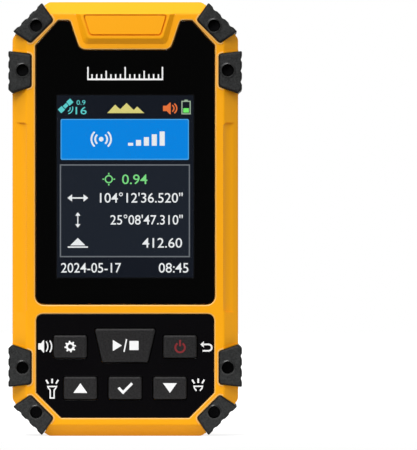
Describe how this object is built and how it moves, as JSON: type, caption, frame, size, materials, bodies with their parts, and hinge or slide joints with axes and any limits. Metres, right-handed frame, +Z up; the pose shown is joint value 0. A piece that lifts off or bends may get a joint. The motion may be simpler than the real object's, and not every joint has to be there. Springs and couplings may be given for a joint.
{
  "type": "hand-held land area meter",
  "caption": "Hand-held satellite land area meter with a colour display, raised keys, rubber bumpers, a torch in its top end and a hinged charging-port door.",
  "frame": {"origin": "on the bottom end, under the middle of the whole meter", "axes": "+Z up along the meter, -Y towards whoever reads the display, +X to that reader's right"},
  "size_m": [0.0738, 0.03, 0.1374],
  "materials": {
    "amber_abs": "satin",
    "bumper_rubber": "matte",
    "clear_acrylic": "polished",
    "black_print": "gloss",
    "foam_tape": "matte",
    "display_glass": "polished",
    "white_plastic": "matte",
    "flex_film": "satin",
    "key_rubber": "matte",
    "silicone": "matte",
    "steel": "satin",
    "black_steel": "satin",
    "circuit_board": "satin",
    "ceramic_patch": "matte",
    "chip_black": "matte",
    "battery_wrap": "satin",
    "lead_red": "satin",
    "clear_lens": "polished",
    "reflector_metal": "polished",
    "lamp_phosphor": "gloss",
    "brass": "satin",
    "label_film": "satin"
  },
  "bodies": {
    "meter": {"front_case": "amber_abs", "back_case": "amber_abs", "crown_panel": "amber_abs", "corner_bumper_upper_left": "bumper_rubber", "corner_bumper_upper_right": "bumper_rubber", "corner_bumper_lower_left": "bumper_rubber", "corner_bumper_lower_right": "bumper_rubber", "side_bumper_upper_left": "bumper_rubber", "side_bumper_upper_right": "bumper_rubber", "side_bumper_lower_left": "bumper_rubber", "side_bumper_lower_right": "bumper_rubber", "display_window": "clear_acrylic", "window_mask": "black_print", "keypad_plate": "black_print", "window_tape": "foam_tape", "display_cushion": "foam_tape", "battery_pad": "foam_tape", "display_panel": "display_glass", "display_backlight": "white_plastic", "battery_socket": "white_plastic", "display_flex": "flex_film", "keypad_mat": "silicone", "case_seal": "silicone", "key_switches": "steel", "board_screws": "steel", "receiver_shield": "steel", "charging_socket": "steel", "door_pin": "steel", "case_screws": "steel", "strap_bar": "steel", "bumper_screws": "black_steel", "main_board": "circuit_board", "aerial_board": "circuit_board", "aerial": "ceramic_patch", "processor": "chip_black", "speaker": "chip_black", "speaker_mesh": "chip_black", "torch_tube": "chip_black", "battery": "battery_wrap", "battery_lead": "lead_red", "torch_lens": "clear_lens", "torch_reflector": "reflector_metal", "torch_lamp": "lamp_phosphor", "case_inserts": "brass", "label_plate": "label_film"},
    "settings_key": {"settings_key": "key_rubber"},
    "start_key": {"start_key": "key_rubber"},
    "power_key": {"power_key": "key_rubber"},
    "up_key": {"up_key": "key_rubber"},
    "enter_key": {"enter_key": "key_rubber"},
    "down_key": {"down_key": "key_rubber"},
    "port_door": {"port_door": "bumper_rubber"}
  },
  "joints": [
    {"name": "settings_key_press", "type": "slide", "parent": "meter", "child": "settings_key", "axis": [0, 1, 0], "range_m": [0, 0.0007], "stiffness_N_per_m": 1500},
    {"name": "start_key_press", "type": "slide", "parent": "meter", "child": "start_key", "axis": [0, 1, 0], "range_m": [0, 0.0007], "stiffness_N_per_m": 1500},
    {"name": "power_key_press", "type": "slide", "parent": "meter", "child": "power_key", "axis": [0, 1, 0], "range_m": [0, 0.0007], "stiffness_N_per_m": 1500},
    {"name": "up_key_press", "type": "slide", "parent": "meter", "child": "up_key", "axis": [0, 1, 0], "range_m": [0, 0.0007], "stiffness_N_per_m": 1500},
    {"name": "enter_key_press", "type": "slide", "parent": "meter", "child": "enter_key", "axis": [0, 1, 0], "range_m": [0, 0.0007], "stiffness_N_per_m": 1500},
    {"name": "down_key_press", "type": "slide", "parent": "meter", "child": "down_key", "axis": [0, 1, 0], "range_m": [0, 0.0007], "stiffness_N_per_m": 1500},
    {"name": "port_door_hinge", "type": "hinge", "parent": "meter", "child": "port_door", "pos_m": [0.0344, 0.0006, 0.052], "axis": [0, 0, 1], "range_deg": [0, 95]}
  ]
}
